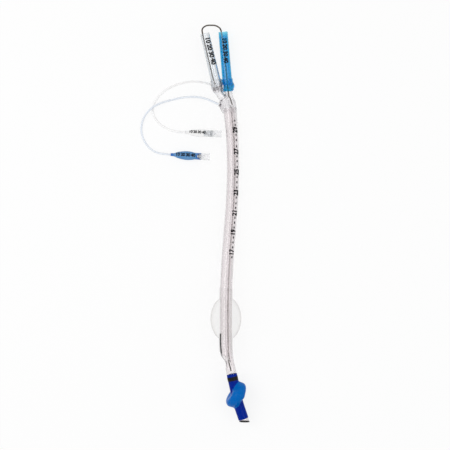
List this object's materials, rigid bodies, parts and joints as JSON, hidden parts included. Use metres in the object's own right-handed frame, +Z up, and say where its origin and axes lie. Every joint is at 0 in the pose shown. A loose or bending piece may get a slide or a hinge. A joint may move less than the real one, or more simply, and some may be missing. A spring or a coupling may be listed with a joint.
{
  "type": "endobronchial tube",
  "caption": "Double-lumen airway tube for ventilating each lung by itself, with tracheal and bronchial cuffs, inflation lines with pilot balloons, and its stylet in place.",
  "frame": {"origin": "on the surface that the tube lies on, below the centre of the tube's own box, without its inflation lines", "axes": "+Y along the tube from the bronchial tip to the limbs' open ends, +Z up from the surface, +X to the side that the tip bends to"},
  "size_m": [0.1096, 0.3981, 0.0305],
  "materials": {
    "clear_pvc": "soft clear tubing",
    "black_mark": "matt ink",
    "clear_film": "thin clear film",
    "blue_film": "thin blue film",
    "clear_moulding": "clear moulded plastic",
    "clear_limb": "clear tubing",
    "blue_limb": "blue tubing",
    "blue_moulding": "blue moulded plastic",
    "stylet_wire": "satin wire",
    "clear_line": "clear fine tubing",
    "blue_line": "fine tubing with a blue tint",
    "blue_pilot_film": "thin blue film",
    "clear_rigid": "clear rigid plastic",
    "valve_housing": "clear rigid plastic",
    "valve_plastic": "white rigid plastic",
    "valve_seal": "black rubber",
    "spring_steel": "bright wire"
  },
  "bodies": {
    "tube": {"shaft": "clear_pvc", "bronchial_tube": "clear_pvc", "tip_marker": "black_mark", "marker_ring": "black_mark", "opening_marker": "black_mark", "tracheal_cuff": "clear_film", "bronchial_cuff": "blue_film", "y_joint": "clear_moulding", "tracheal_limb": "clear_limb", "bronchial_limb": "blue_limb", "tracheal_collar": "clear_moulding", "bronchial_collar": "blue_moulding", "stylet": "stylet_wire", "tracheal_line_sleeve": "clear_moulding", "tracheal_line": "clear_line", "tracheal_pilot_balloon": "clear_film", "tracheal_valve_body": "valve_housing", "tracheal_luer_cap": "clear_rigid", "tracheal_valve_spring": "spring_steel", "bronchial_line": "blue_line", "bronchial_pilot_balloon": "blue_pilot_film", "bronchial_valve_body": "valve_housing", "bronchial_luer_cap": "clear_rigid", "bronchial_valve_spring": "spring_steel"},
    "tracheal_poppet": {"tracheal_poppet": "valve_plastic", "tracheal_valve_seal": "valve_seal"},
    "bronchial_poppet": {"bronchial_poppet": "valve_plastic", "bronchial_valve_seal": "valve_seal"}
  },
  "joints": [
    {"name": "tracheal_valve_press", "type": "slide", "parent": "tube", "child": "tracheal_poppet", "axis": [-0.9987, 0.0487, 0.0137], "range_m": [0, 0.0015], "stiffness_N_per_m": 300, "springref_m": -0.002, "deforming": ["tracheal_valve_spring"]},
    {"name": "bronchial_valve_press", "type": "slide", "parent": "tube", "child": "bronchial_poppet", "axis": [-0.9978, 0.0639, 0.0186], "range_m": [0, 0.0015], "stiffness_N_per_m": 300, "springref_m": -0.002, "deforming": ["bronchial_valve_spring"]}
  ]
}
